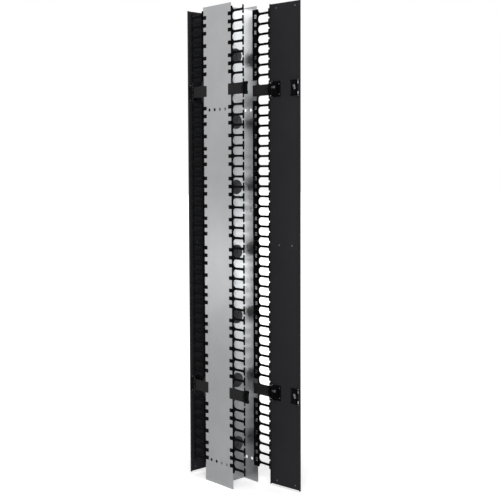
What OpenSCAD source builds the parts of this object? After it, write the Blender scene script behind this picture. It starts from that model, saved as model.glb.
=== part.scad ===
// Two-sided vertical cable manager: an H-shaped sheet-metal spine with finger columns on its
// four edges, cable spools in both troughs, and a channel door on hinge pins at each face.
// The front faces -Y, +Z is up, and the origin is the middle of the spine's foot.
// The front door stands open on its right-hand pins, and the rear door is closed.

/* [Rack grid] */
// Height of one rack unit, which is the pitch of the fingers
rack_unit = 44.45; // [42:0.05:48]
// Fingers on one module
module_fingers = 7; // [5:1:8]
// Finger modules between the upper and the lower hinge blocks
middle_modules = 4; // [1:1:5]
// Gap between the strips of two neighbouring modules
module_gap = 0.4; // [0.2:0.1:1.5]

/* [Spine] */
// Width over the two side walls
spine_w = 151; // [130:1:200]
// Depth of the side walls
spine_d = 189; // [160:1:240]
// Thickness of the spine's sheet
sheet_t = 1.5; // [1:0.1:2]
// Height of the finger columns' lower end above the floor
column_foot = 73.8; // [40:0.1:160]
// Height of the walls above the finger columns
column_head = 15.1; // [5:0.1:40]
// Width of the bent flange on each side of the web
web_flange_w = 10; // [10:0.1:10.8]
// Shank diameter of the rivets that hold the web
rivet_d = 4.8; // [3:0.1:5]
// Head diameter of the rivets that hold the web
rivet_head_d = 8; // [7:0.1:9]
// Head height of the rivets that hold the web
rivet_head_h = 0.8; // [0.5:0.1:1.5]
// Rivets along each side of the web
rivet_count = 9; // [5:1:14]

/* [Mounting holes] */
// Diameter of the mounting holes in the side walls
mount_hole_d = 14; // [8:0.5:14]
// Pitch of the four mounting holes in a row
mount_pitch = 36; // [36:0.5:40]
// Height of the lower row
mount_low_z = 102; // [60:1:200]
// Depth of the upper row below the middle of the upper hinge blocks
mount_drop = 83.8; // [60:0.1:140]

/* [Fingers] */
// Width of the strip that carries the fingers
strip_w = 8; // [6:0.5:12]
// Height of a finger's bar
bar_h = 7; // [4:0.5:9]
// Distance of the finger tips from the wall's edge
finger_reach = 81.5; // [60:0.5:110]
// Thickness of the bar across a finger's tip
tip_t = 4.5; // [3:0.1:6]
// Slot between two tips, where a cable slips in
tip_slot = 7.5; // [5:0.1:10]
// Radius where a finger meets its strip
root_r = 13; // [6:0.5:15]
// Radius where a finger meets its tip bar
tip_r = 4.5; // [2:0.5:8]

/* [Tabs] */
// Thickness of the tabs that lap the wall's outer face
tab_t = 2; // [1.5:0.1:2.5]
// Length of the tabs
tab_l = 19.5; // [14:0.5:22]
// Height of the tabs
tab_h = 16.5; // [10:0.5:20]
// Distance of the first tab from the middle one
tab_first = 54.9; // [30:0.1:60]
// Pitch of the tabs beyond the first
tab_pitch = 34.6; // [25:0.1:40]
// Thickness of the band that laps the wall's inner face
band_t = 1; // [0.8:0.1:2]
// Length of the band along the wall
band_l = 26.5; // [24:0.5:32]
// Length of the band's windows, which face the tabs
window_l = 14; // [10:0.5:16]
// Rim of the band between a window and the wall's edge
window_rim = 0.8; // [0.5:0.1:3]
// Corner radius of the windows
window_r = 3; // [1:0.5:5]
// Diameter of the pegs that hold the tabs
peg_d = 6; // [4:0.1:8]
// Clearance of a peg in its hole, all round
peg_clear = 0.15; // [0.1:0.05:0.3]

/* [Hinge blocks] */
// Height of the blocks' plates
block_h = 48.4; // [40:0.2:56]
// Distance of the blocks' pegs from the middle
block_peg_z = 14; // [8:0.5:18]
// Distance of the receivers' screws from the block's middle
receiver_screw_z = 12; // [8:0.5:14]
// Distance of the receivers' screws from the finger tips
receiver_screw_in = 8; // [6:0.5:9]
// Diameter of the receivers' screws
receiver_screw_d = 4; // [3:0.1:5]
// Head height of the receivers' screws
receiver_screw_head = 1.8; // [1:0.1:2.5]

/* [Receivers] */
// Half height of a receiver
receiver_half = 27; // [25:0.5:28]
// Half height of the open waist between its ears
waist_half = 14.5; // [12:0.5:16]
// Thickness of the floor under each ear's slot
ear_floor = 1.5; // [1:0.1:3]
// Radius of an ear round the pin
ear_r = 6; // [5:0.1:6]
// Radius of the post between the ears
post_r = 4; // [3.5:0.1:4.2]
// Reach of the ears' arms and the web between them, outboard of the pin
arm_out = 1.5; // [0.5:0.1:2]
// Thickness of the receiver's base on the finger tips
receiver_base_t = 3; // [2:0.1:3.5]
// Thickness of the cheeks that grip the block
cheek_t = 1.5; // [1:0.1:2.5]
// Length of the cheeks
cheek_l = 12; // [10:0.5:16]
// Half height of the cheeks
cheek_half = 20; // [17:0.5:22]
// Clearance of a hinge pin in its slot, all round
pin_clear = 0.4; // [0.3:0.05:0.6]

/* [Doors] */
// Width of the doors
door_w = 166; // [160:0.5:215]
// Depth of the doors' side flanges
door_d = 12.4; // [10:0.1:14]
// Thickness of the doors' sheet
door_t = 1.2; // [0.8:0.1:1.4]
// Outer radius of the doors' bends
door_bend = 2.2; // [1.8:0.1:3]
// Height of the doors' lower end above the floor
door_foot = 16; // [8:1:40]
// Height of the spine above the doors
door_head = 3.6; // [1:0.1:20]
// Distance of a closed door's outer face from the finger tips
door_stand_off = 23.5; // [23:0.1:32]
// Distance of the pins from the door's side
pin_inset = 9.5; // [9:0.1:11]
// Depth of the pins behind the door's outer face
pin_depth = 7.5; // [7.5:0.1:8.2]
// Diameter of the hinge pins
pin_d = 6; // [4:0.1:6]
// Angle that the front door stands open
front_open = 96; // [0:1:110]
// Half height of the notches in the flanges at the receivers
notch_half = 30; // [28.5:0.1:31]

/* [Latches] */
// Distance of the latch shafts from the door's side
latch_inset = 27; // [26:0.5:30]
// Height of the latch shafts above the block's middle
latch_rise = 8; // [6:0.5:8]
// Angle from a latched pawl to a released one
latch_turn = 70; // [60:1:80]
// Thickness of the pawls
pawl_t = 3; // [2:0.1:3.5]
// Reach of a pawl from its shaft
pawl_reach = 16; // [14:0.1:17]
// Height of a pawl's nose
pawl_h = 9; // [6:0.5:10]
// Radius of a pawl's hub
pawl_hub_r = 6; // [5.5:0.1:7]
// Gap between a latched pawl and the post
pawl_gap = 0.3; // [0.2:0.05:1]
// Diameter of the latch shafts
shaft_d = 8; // [6:0.1:9]
// Clearance of a latch shaft, all round
shaft_clear = 0.2; // [0.15:0.05:0.4]
// Inner side of the housings, from the door's side
housing_in = 17; // [16.5:0.1:18]
// Width of the housings
housing_w = 23; // [22:0.5:27]
// Depth of the housings behind the door's outer face
housing_d = 15.5; // [15:0.1:18]
// Corner radius of the housings
housing_r = 4; // [2:0.5:6]
// Inner end of the latch bases, from the door's side
base_end = 54; // [50:1:60]
// Thickness of the latch bases' plates
base_t = 1.5; // [1:0.1:2]
// Half height of the latch bases
base_half = 33; // [31:0.5:36]
// Inner half height between the bases' pin ears
base_gap_half = 28.3; // [28.2:0.1:29]
// Radius of the bases' ears round the pin
base_ear_r = 6.2; // [5.5:0.1:6.2]
// Diameter of the knobs
knob_d = 24; // [18:0.5:30]
// Height of the knobs
knob_h = 12; // [9:0.5:16]
// Gap between a knob and the door
knob_gap = 0.5; // [0.3:0.1:1]

/* [Door trim] */
// Height of the plate's screws above the floor
plate_z = 1085; // [400:1:1300]
// Distance between the plate's two screws
plate_pitch = 72; // [50:1:90]
// Width of the blank outer plate
plate_w = 96; // [92:1:110]
// Height of the blank outer plate
plate_h = 28; // [16:1:50]
// Thickness of the blank outer plate
plate_t = 1.6; // [1:0.1:3]
// Diameter of the plate's screws
trim_screw_d = 4; // [3:0.1:5]
// Distance of the end rivets from the door's end
end_rivet_z = 19; // [10:1:40]
// Distance between the two end rivets
end_rivet_pitch = 105.4; // [80:0.2:120]
// Shank diameter of the doors' rivets
door_rivet_d = 3.2; // [2.4:0.1:4]
// Distance of the base rivets from the door's side
base_rivet_in = 47; // [45:0.5:50]
// Distance of the base rivets from the block's middle
base_rivet_z = 22; // [16:0.5:26]

/* [Spools] */
// Height of the lowest spools
spool_low_z = 181.9; // [120:0.1:300]
// Rack units between two spools
spool_units = 6.5; // [4:0.5:8]
// Diameter of the spools' caps
cap_d = 65; // [50:0.5:80]
// Thickness of the caps
cap_t = 6; // [4:0.5:8]
// Distance of the caps' faces from the web's middle
cap_reach = 42; // [30:0.5:60]
// Diameter of the barrels
barrel_d = 34; // [24:0.5:40]
// Diameter of the seats on the web
seat_d = 46; // [36:0.5:60]
// Thickness of the seats
seat_t = 3; // [2:0.5:5]
// Width of the caps' raised rims
rim_w = 4; // [2:0.5:8]
// Depth of the dished faces
dish = 3; // [1:0.5:3.5]
// Diameter of the raised hubs
hub_d = 22; // [18:0.5:28]
// Width of the caps' ribs
rib_w = 3; // [1.5:0.5:5]
// Ribs on one cap
rib_count = 6; // [3:1:8]
// Diameter of the spool screws
spool_screw_d = 6; // [4:0.5:8]
// Distance of the screw heads' seats from the web's middle
screw_seat = 30; // [20:0.5:32]
// Diameter of the pockets for the screw heads
pocket_d = 14; // [13:0.5:16]

/* [Hidden] */
$fn = 48;

plastic = "#1b1b1d";
block_black = "#222224";
zinc = "#b4b6b8";
bright = "#a4a6a8";
door_black = "#2b2b2e";
cap_grey = "#3c3c3f";

// Counts and heights along a column, from the top down
block_fingers = 2;
upper_block_at = module_fingers;
lower_block_at = upper_block_at + block_fingers + middle_modules * module_fingers;
finger_count = lower_block_at + block_fingers + module_fingers;
column_h = finger_count * rack_unit;
spine_h = column_foot + column_h + column_head;
module_len = module_fingers * rack_unit;
function slot_z(k) = column_foot + column_h - k * rack_unit;
function module_z(first) = slot_z(first + module_fingers / 2);
upper_z = slot_z(upper_block_at + block_fingers / 2);
lower_z = slot_z(lower_block_at + block_fingers / 2);
block_zs = [upper_z, lower_z];
middle_first = upper_block_at + block_fingers;
middle_starts = [for (i = [0:middle_modules - 1]) middle_first + i * module_fingers];
module_zs = [for (k = concat([0], middle_starts, [lower_block_at + block_fingers])) module_z(k)];

// Places across the section, for the corner at +X and +Y
wall_x = spine_w / 2;
edge_y = spine_d / 2;
finger_t = band_t + sheet_t + tab_t;
finger_x = wall_x + tab_t - finger_t;
tip_y = edge_y + finger_reach;
face_y = tip_y + door_stand_off;
pin_x = door_w / 2 - pin_inset;
pin_y = face_y - pin_depth;
latch_x = door_w / 2 - latch_inset;
pawl_face = pin_depth + post_r + pawl_gap;
tip_len = rack_unit - tip_slot;
tab_offsets = [for (d = tab_first; d + tab_h / 2 < module_len / 2; d = d + tab_pitch) d];
far_tab = tab_offsets[len(tab_offsets) - 1];
tab_places = [0, each tab_offsets, each -tab_offsets];
upper_row_z = upper_z - mount_drop;
spool_pitch = spool_units * rack_unit;
spool_zs = [for (z = spool_low_z; z + cap_d / 2 < spine_h; z = z + spool_pitch) z];
door_h = spine_h - door_foot - door_head;
rivet_y = (web_flange_w - sheet_t / 2) / 2 + sheet_t / 2;
rivet_pitch = spine_h / rivet_count;

// Overlap that joins the shapes of one solid, and overshoot of a cut
sink = 0.5;
over = 1;
// Clearance of a screw or rivet in its hole
fix_clear = 0.1;

// ---- Placing ----

// Carries a piece from the corner at +X and +Y to another corner
module corner(x_side, y_side)
    mirror([x_side < 0 ? 1 : 0, 0, 0])
        mirror([0, y_side < 0 ? 1 : 0, 0])
            children();

// Carries a closed front door's piece to where the front door stands
module front_door()
    translate([pin_x, -pin_y, 0])
        rotate([0, 0, front_open])
            translate([-pin_x, pin_y, 0])
                children();

// Carries a closed front door's piece to the rear door
module rear_door() rotate([0, 0, 180]) children();

// Places a piece at each latch of a door, drawn for the side at +X
module at_latches()
    for (z = block_zs)
        for (side = [1, -1])
            corner(side, 1)
                translate([0, 0, z])
                    children();

// A cylinder along X from x0 to x1
module rod_x(d, x0, x1)
    translate([x0, 0, 0])
        rotate([0, 90, 0])
            cylinder(d = d, h = x1 - x0);

// A cylinder along Y from y0 to y1
module rod_y(d, y0, y1)
    translate([0, y1, 0])
        rotate([90, 0, 0])
            cylinder(d = d, h = y1 - y0);

// ---- Spine ----

module peg_places()
    for (y_side = [1, -1]) {
        for (z = module_zs)
            for (dz = [-far_tab, 0, far_tab])
                translate([0, y_side * (edge_y - tab_l / 2), z + dz])
                    children();
        for (z = block_zs)
            for (dz = [-block_peg_z, block_peg_z])
                translate([0, y_side * (edge_y - tab_l / 2), z + dz])
                    children();
    }

module rivet_places()
    for (i = [0:rivet_count - 1])
        translate([0, rivet_y, (i + 0.5) * rivet_pitch])
            children();

module side_wall() color(zinc) difference() {
    translate([wall_x - sheet_t, -edge_y, 0])
        cube([sheet_t, spine_d, spine_h]);
    for (z = [mount_low_z, upper_row_z])
        for (i = [-1.5:1:1.5])
            translate([0, i * mount_pitch, z])
                rod_x(mount_hole_d, wall_x - sheet_t - over, wall_x + over);
    peg_places()
        rod_x(peg_d + 2 * peg_clear, wall_x - sheet_t - over, wall_x + over);
    rivet_places()
        rod_x(rivet_d + 2 * fix_clear, wall_x - sheet_t - over, wall_x + over);
}

module spine_right_wall() side_wall();

module spine_left_wall() mirror([1, 0, 0]) side_wall();

module spine_web() color(zinc) difference() {
    inner_x = wall_x - sheet_t;
    union() {
        translate([-inner_x, -sheet_t / 2, 0])
            cube([2 * inner_x, sheet_t, spine_h]);
        for (side = [1, -1])
            corner(side, 1)
                translate([inner_x - sheet_t, -sheet_t / 2, 0])
                    cube([sheet_t, web_flange_w + sheet_t / 2, spine_h]);
    }
    for (z = spool_zs)
        translate([0, 0, z])
            rod_y(spool_screw_d + 2 * fix_clear, -sheet_t, sheet_t);
    rivet_places()
        rod_x(rivet_d + 2 * fix_clear, -wall_x, wall_x);
}

module web_rivets() color(zinc)
    for (side = [1, -1])
        corner(side, 1)
            rivet_places() {
                rod_x(rivet_d, wall_x - 2 * sheet_t - sink, wall_x + sink);
                rod_x(rivet_head_d, wall_x, wall_x + rivet_head_h);
                rod_x(rivet_head_d, wall_x - 2 * sheet_t - rivet_head_h, wall_x - 2 * sheet_t);
            }

// ---- Finger columns, drawn in the plane of a column: x outward from the wall's edge, y up ----

// Hollow fillets on both sides of a bar that leaves x = 0 with this half height
module bar_fillets(r, half)
    for (side = [1, -1])
        mirror([0, side < 0 ? 1 : 0])
            difference() {
                translate([-sink, half - sink])
                    square(r + sink);
                translate([r, half + r])
                    circle(r);
            }

module tip_bar(length)
    translate([finger_reach - tip_t / 2, 0]) {
        square([tip_t, length - tip_t], center = true);
        for (side = [1, -1])
            translate([0, side * (length - tip_t) / 2])
                circle(d = tip_t);
    }

// A bar from the strip to its tip bar, with fillets at both ends
module tipped_bar(height, tip_length) {
    translate([0, -height / 2])
        square([finger_reach - tip_t / 2, height]);
    translate([strip_w, 0])
        bar_fillets(root_r, height / 2);
    translate([finger_reach - tip_t, 0])
        mirror([1, 0])
            bar_fillets(tip_r, height / 2);
    tip_bar(tip_length);
}

// Turns a column's plane into a plate of the fingers' thickness
module column_plate()
    translate([finger_x, edge_y, 0])
        rotate([90, 0, 90])
            linear_extrude(finger_t)
                children();

module tab(height)
    translate([wall_x, edge_y - tab_l, -height / 2])
        cube([tab_t, tab_l + strip_w / 2, height]);

module peg(dz)
    translate([0, edge_y - tab_l / 2, dz])
        rod_x(peg_d, finger_x + band_t / 2, wall_x + tab_t / 2);

module band(height)
    translate([finger_x, edge_y - band_l, -height / 2])
        cube([band_t, band_l + strip_w / 2, height]);

module round_window(length, height, r) {
    square([length - 2 * r, height], center = true);
    square([length, height - 2 * r], center = true);
    for (x = [r - length / 2, length / 2 - r])
        for (y = [r - height / 2, height / 2 - r])
            translate([x, y])
                circle(r);
}

// Cuts a window through the band at this height
module band_window(z)
    translate([finger_x - over, edge_y - window_rim - window_l / 2, z])
        rotate([90, 0, 90])
            linear_extrude(band_t + 2 * over)
                round_window(window_l, tab_h, window_r);

module finger_module() color(plastic) {
    strip_h = module_len - module_gap;
    column_plate() {
        translate([0, -strip_h / 2])
            square([strip_w, strip_h]);
        for (k = [0:module_fingers - 1])
            translate([0, (k - (module_fingers - 1) / 2) * rack_unit])
                tipped_bar(bar_h, tip_len);
    }
    for (z = tab_places)
        translate([0, 0, z])
            tab(tab_h);
    difference() {
        band(strip_h);
        for (z = tab_places)
            band_window(z);
    }
    for (dz = [-far_tab, 0, far_tab])
        peg(dz);
}

module fingers(x_side, y_side, starts)
    corner(x_side, y_side)
        for (first = starts)
            translate([0, 0, module_z(first)])
                finger_module();

module fingers_top(x_side, y_side) fingers(x_side, y_side, [0]);

module fingers_middle(x_side, y_side) fingers(x_side, y_side, middle_starts);

module fingers_bottom(x_side, y_side) fingers(x_side, y_side, [lower_block_at + block_fingers]);

module receiver_screw_places()
    for (side = [1, -1])
        translate([0, tip_y - receiver_screw_in, side * receiver_screw_z])
            children();

module hinge_block() color(block_black) difference() {
    strip_h = block_fingers * rack_unit - module_gap;
    union() {
        column_plate() {
            translate([0, -strip_h / 2])
                square([strip_w, strip_h]);
            tipped_bar(block_h, rack_unit + tip_len);
        }
        tab(block_h);
        band(block_h);
        for (dz = [-block_peg_z, block_peg_z])
            peg(dz);
    }
    receiver_screw_places()
        rod_x(receiver_screw_d + 2 * fix_clear, finger_x - over, finger_x + finger_t + over);
}

module hinge_blocks(x_side, y_side)
    corner(x_side, y_side)
        for (z = block_zs)
            translate([0, 0, z])
                hinge_block();

// ---- Receivers ----

module receiver() color(plastic) difference() {
    slot_r = pin_d / 2 + pin_clear;
    ear_h = receiver_half - waist_half;
    cheek_x = finger_x - cheek_t;
    cheek_w = finger_t + 2 * cheek_t;
    union() {
        translate([cheek_x, tip_y, -receiver_half])
            cube([cheek_w, receiver_base_t, 2 * receiver_half]);
        for (x = [cheek_x, finger_x + finger_t])
            translate([x, tip_y - cheek_l, -cheek_half])
                cube([cheek_t, cheek_l + receiver_base_t, 2 * cheek_half]);
        for (side = [0, 1])
            mirror([0, 0, side])
                translate([0, 0, waist_half]) {
                    translate([pin_x - ear_r, tip_y, 0])
                        cube([ear_r + arm_out, pin_y - tip_y, ear_h]);
                    translate([pin_x, pin_y, 0])
                        cylinder(r = ear_r, h = ear_h);
                }
        translate([pin_x, tip_y, -waist_half - ear_floor / 2])
            cube([arm_out, pin_y - tip_y, 2 * waist_half + ear_floor]);
        translate([pin_x, pin_y, -waist_half - ear_floor / 2])
            cylinder(r = post_r, h = 2 * waist_half + ear_floor);
    }
    for (side = [0, 1])
        mirror([0, 0, side])
            translate([pin_x, pin_y, waist_half + ear_floor]) {
                cylinder(r = slot_r, h = ear_h + over);
                translate([-slot_r, 0, 0])
                    cube([2 * slot_r, ear_r + over, ear_h + over]);
            }
    receiver_screw_places()
        rod_x(receiver_screw_d + 2 * fix_clear, cheek_x - over, cheek_x + cheek_w + over);
}

module receivers(x_side, y_side)
    corner(x_side, y_side)
        for (z = block_zs)
            translate([0, 0, z])
                receiver();

module receiver_screws() color(block_black)
    for (x_side = [1, -1])
        for (y_side = [1, -1])
            corner(x_side, y_side)
                for (z = block_zs)
                    translate([0, 0, z])
                        receiver_screw_places() {
                            in_x = finger_x - cheek_t;
                            out_x = finger_x + finger_t + cheek_t;
                            rod_x(receiver_screw_d, in_x - sink, out_x + sink);
                            rod_x(2 * receiver_screw_d, out_x, out_x + receiver_screw_head);
                            rod_x(1.8 * receiver_screw_d, in_x - receiver_screw_head, in_x);
                        }

// ---- Spools, turned about their screws ----

module spool() {
    bore_r = spool_screw_d / 2 + fix_clear;
    dish_y = cap_reach - dish;
    translate([0, cap_reach, 0])
        rotate([90, 0, 0])
            difference() {
                union() {
                    cylinder(d = cap_d, h = cap_t);
                    cylinder(d = barrel_d, h = cap_reach - sheet_t / 2);
                    translate([0, 0, cap_reach - sheet_t / 2 - seat_t])
                        cylinder(d = seat_d, h = seat_t);
                }
                difference() {
                    translate([0, 0, -over])
                        cylinder(d = cap_d - 2 * rim_w, h = dish + over);
                    translate([0, 0, -over - sink])
                        cylinder(d = hub_d, h = dish + over + 2 * sink);
                    for (i = [0:rib_count - 1])
                        rotate([0, 0, i * 360 / rib_count])
                            translate([0, -rib_w / 2, cap_reach - dish_y - dish / 2])
                                cube([cap_d / 2, rib_w, dish]);
                }
                translate([0, 0, -over])
                    cylinder(d = pocket_d, h = cap_reach - screw_seat + over);
                cylinder(r = bore_r, h = cap_reach);
            }
}

module spools(y_side) color(cap_grey)
    for (z = spool_zs)
        corner(1, y_side)
            translate([0, 0, z])
                spool();

module spool_screws() color(bright)
    for (z = spool_zs)
        translate([0, 0, z]) {
            head_h = 0.6 * spool_screw_d;
            head_d = 1.9 * spool_screw_d;
            rod_y(spool_screw_d, -screw_seat - sink, screw_seat + head_h);
            rod_y(head_d, -screw_seat - head_h, -screw_seat);
            translate([0, screw_seat + head_h, 0])
                rotate([90, 0, 0])
                    cylinder(d = head_d, h = head_h, $fn = 6);
        }

// ---- Doors, drawn closed at the front; depths are behind the outer face ----

// Moves a shape so that y = 0 is the door's outer face and +y goes into the door
module at_face() translate([0, -face_y, 0]) children();

// Section of the door's channel
module channel(outer) {
    inset = outer ? 0 : door_t;
    r = door_bend - inset;
    w = door_w - 2 * inset;
    translate([-w / 2, inset + r])
        square([w, door_d - inset - r + (outer ? 0 : over)]);
    translate([-w / 2 + r, inset])
        square([w - 2 * r, r + sink]);
    for (side = [1, -1])
        translate([side * (w / 2 - r), inset + r])
            circle(r);
}

module trim_screw_places()
    for (side = [1, -1])
        translate([side * plate_pitch / 2, 0, plate_z])
            children();

module end_rivet_places()
    for (z = [door_foot + end_rivet_z, door_foot + door_h - end_rivet_z])
        for (side = [1, -1])
            translate([side * end_rivet_pitch / 2, 0, z])
                children();

module base_rivet_places()
    at_latches()
        for (side = [1, -1])
            translate([door_w / 2 - base_rivet_in, 0, side * base_rivet_z])
                children();

module shaft_place() translate([latch_x, 0, latch_rise]) children();

module door_panel() color(door_black) at_face() difference() {
    translate([0, 0, door_foot])
        linear_extrude(door_h)
            difference() {
                channel(true);
                channel(false);
            }
    at_latches() {
        translate([door_w / 2 - door_t - sink, door_bend, -notch_half])
            cube([door_t + sink + over, door_d, 2 * notch_half]);
        shaft_place()
            rod_y(shaft_d + 2 * shaft_clear, -over, door_t + over);
    }
    trim_screw_places()
        rod_y(trim_screw_d + 2 * fix_clear, -over, door_t + over);
    end_rivet_places()
        rod_y(door_rivet_d + 2 * fix_clear, -over, door_t + over);
    base_rivet_places()
        rod_y(door_rivet_d + 2 * fix_clear, -over, door_t + over);
}

module latch_base() {
    inner_x = door_w / 2 - base_end;
    plate_x1 = door_w / 2 - housing_in;
    ear_h = base_half - base_gap_half;
    difference() {
        union() {
            translate([inner_x, door_t, -base_half])
                cube([plate_x1 - inner_x, base_t, 2 * base_half]);
            for (side = [0, 1])
                mirror([0, 0, side])
                    translate([0, 0, base_gap_half]) {
                        translate([pin_x, pin_depth, 0])
                            cylinder(r = base_ear_r, h = ear_h);
                        translate([latch_x, door_t, 0])
                            cube([pin_x - latch_x, pin_depth + base_ear_r - door_t, ear_h]);
                        translate([inner_x, door_t, 0])
                            cube([latch_x - inner_x, base_t + ear_h, ear_h]);
                    }
        }
        translate([pin_x, pin_depth, -base_half - over])
            cylinder(r = pin_d / 2 + fix_clear, h = 2 * (base_half + over));
        shaft_place()
            rod_y(shaft_d + 2 * shaft_clear, 0, door_t + base_t + over);
        for (side = [1, -1])
            translate([door_w / 2 - base_rivet_in, 0, side * base_rivet_z])
                rod_y(door_rivet_d + 2 * fix_clear, 0, door_t + base_t + over);
    }
}

module latch_bases() color(block_black) at_face() at_latches() latch_base();

module latch_housing() {
    in_x = door_w / 2 - housing_in;
    height = 2 * base_gap_half;
    floor_y = door_t + base_t;
    pocket_floor = pawl_face - pawl_gap;
    pocket_x0 = latch_x - pawl_hub_r - 2 * pawl_gap;
    pocket_z0 = latch_rise - pawl_reach - pawl_h / 2 + over;
    pocket_z1 = latch_rise + pawl_hub_r + 2 * pawl_gap;
    difference() {
        translate([0, floor_y, 0])
            rotate([-90, 0, 0])
                linear_extrude(housing_d - floor_y) {
                    translate([in_x - housing_w + housing_r, -height / 2])
                        square([housing_w - housing_r, height]);
                    translate([in_x - housing_w, -height / 2 + housing_r])
                        square([housing_w, height - 2 * housing_r]);
                    for (side = [1, -1])
                        translate([in_x - housing_w + housing_r, side * (height / 2 - housing_r)])
                            circle(housing_r);
                }
        translate([pocket_x0, pocket_floor, pocket_z0])
            cube([in_x - pocket_x0 + over, housing_d, pocket_z1 - pocket_z0]);
        shaft_place()
            rod_y(shaft_d + 2 * shaft_clear, 0, housing_d + over);
    }
}

module latch_housings() color(plastic) at_face() at_latches() latch_housing();

module hinge_pins() color(bright) at_face() at_latches()
    for (side = [0, 1])
        mirror([0, 0, side]) {
            foot_z = waist_half + ear_floor + pawl_gap;
            head_h = 1.5;
            translate([pin_x, pin_depth, foot_z])
                cylinder(d = pin_d, h = base_half + head_h - foot_z);
            translate([pin_x, pin_depth, base_half])
                cylinder(d = 1.5 * pin_d, h = head_h);
        }

// A rivet along the depth through sheets from the outer face to this depth
module door_rivet(depth) {
    head_h = 0.35 * door_rivet_d;
    rod_y(door_rivet_d, -head_h, depth + head_h);
    rod_y(2 * door_rivet_d, -head_h, 0);
    rod_y(1.8 * door_rivet_d, depth, depth + head_h);
}

module door_rivets() color(bright) at_face() {
    end_rivet_places() door_rivet(door_t);
    base_rivet_places() door_rivet(door_t + base_t);
}

module door_plate() color(plastic) at_face() difference() {
    translate([-plate_w / 2, -plate_t, plate_z - plate_h / 2])
        cube([plate_w, plate_t, plate_h]);
    trim_screw_places()
        rod_y(trim_screw_d + 2 * fix_clear, -plate_t - over, over);
}

module door_plate_screws() color(bright) at_face() trim_screw_places() {
    head_h = 0.5 * trim_screw_d;
    rod_y(trim_screw_d, -plate_t - head_h, door_t + head_h);
    rod_y(2 * trim_screw_d, -plate_t - head_h, -plate_t);
    rod_y(1.8 * trim_screw_d, door_t, door_t + head_h);
}

// ---- Latch pawls and knobs, drawn latched at +X about the shaft, then turned and placed ----

// side is +1 at the door's pins and -1 at its free side, where the pawls are released
module at_shaft(side, z)
    at_face()
        corner(side, 1)
            translate([latch_x, 0, z + latch_rise])
                rotate([0, side < 0 ? latch_turn : 0, 0])
                    children();

module pawl(side, z) color(bright) at_shaft(side, z) {
    translate([0, pawl_face + pawl_t, 0])
        rotate([90, 0, 0])
            linear_extrude(pawl_t) {
                circle(pawl_hub_r);
                translate([0, -pawl_h / 2])
                    square([pawl_reach - pawl_h / 4, pawl_h]);
                translate([pawl_reach - pawl_h / 4, -pawl_h / 4])
                    circle(pawl_h / 4);
                translate([pawl_reach - pawl_h / 4, pawl_h / 4])
                    circle(pawl_h / 4);
                translate([0, -pawl_h / 4])
                    square([pawl_reach, pawl_h / 2]);
            }
    rod_y(shaft_d, -knob_gap - knob_h / 2, pawl_face + pawl_t / 2);
}

module knob(side, z) color(plastic) at_shaft(side, z) difference() {
    grip_h = knob_h / 2;
    grip_t = knob_d / 3;
    union() {
        rod_y(knob_d, -knob_gap - knob_h + grip_h, -knob_gap);
        intersection() {
            rod_y(knob_d, -knob_gap - knob_h, -knob_gap);
            translate([-knob_d / 2, -knob_gap - knob_h, -grip_t / 2])
                cube([knob_d, knob_h, grip_t]);
        }
    }
    rod_y(shaft_d + 2 * fix_clear, -knob_gap - knob_h / 2 - fix_clear, over);
}

// ---- Nodes ----

spine_left_wall();
spine_right_wall();
spine_web();
web_rivets();
fingers_top(-1, -1);  // front_left_fingers_top
fingers_middle(-1, -1);  // front_left_fingers_middle
fingers_bottom(-1, -1);  // front_left_fingers_bottom
fingers_top(1, -1);  // front_right_fingers_top
fingers_middle(1, -1);  // front_right_fingers_middle
fingers_bottom(1, -1);  // front_right_fingers_bottom
fingers_top(-1, 1);  // rear_left_fingers_top
fingers_middle(-1, 1);  // rear_left_fingers_middle
fingers_bottom(-1, 1);  // rear_left_fingers_bottom
fingers_top(1, 1);  // rear_right_fingers_top
fingers_middle(1, 1);  // rear_right_fingers_middle
fingers_bottom(1, 1);  // rear_right_fingers_bottom
hinge_blocks(-1, -1);  // front_left_hinge_blocks
hinge_blocks(1, -1);  // front_right_hinge_blocks
hinge_blocks(-1, 1);  // rear_left_hinge_blocks
hinge_blocks(1, 1);  // rear_right_hinge_blocks
receivers(-1, -1);  // front_left_receivers
receivers(1, -1);  // front_right_receivers
receivers(-1, 1);  // rear_left_receivers
receivers(1, 1);  // rear_right_receivers
receiver_screws();
spools(-1);  // front_spools
spools(1);  // rear_spools
spool_screws();
front_door() door_panel();  // front_door_panel
front_door() latch_bases();  // front_door_latch_bases
front_door() latch_housings();  // front_door_latch_housings
front_door() hinge_pins();  // front_door_hinge_pins
front_door() door_rivets();  // front_door_rivets
front_door() door_plate();  // front_door_plate
front_door() door_plate_screws();  // front_door_plate_screws
rear_door() door_panel();  // rear_door_panel
rear_door() latch_bases();  // rear_door_latch_bases
rear_door() latch_housings();  // rear_door_latch_housings
rear_door() hinge_pins();  // rear_door_hinge_pins
rear_door() door_rivets();  // rear_door_rivets
rear_door() door_plate();  // rear_door_plate
rear_door() door_plate_screws();  // rear_door_plate_screws
front_door() pawl(1, upper_z);  // front_upper_hinge_pawl
front_door() pawl(1, lower_z);  // front_lower_hinge_pawl
front_door() pawl(-1, upper_z);  // front_upper_free_pawl
front_door() pawl(-1, lower_z);  // front_lower_free_pawl
rear_door() pawl(1, upper_z);  // rear_upper_hinge_pawl
rear_door() pawl(1, lower_z);  // rear_lower_hinge_pawl
rear_door() pawl(-1, upper_z);  // rear_upper_free_pawl
rear_door() pawl(-1, lower_z);  // rear_lower_free_pawl
front_door() knob(1, upper_z);  // front_upper_hinge_knob
front_door() knob(1, lower_z);  // front_lower_hinge_knob
front_door() knob(-1, upper_z);  // front_upper_free_knob
front_door() knob(-1, lower_z);  // front_lower_free_knob
rear_door() knob(1, upper_z);  // rear_upper_hinge_knob
rear_door() knob(1, lower_z);  // rear_lower_hinge_knob
rear_door() knob(-1, upper_z);  // rear_upper_free_knob
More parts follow.
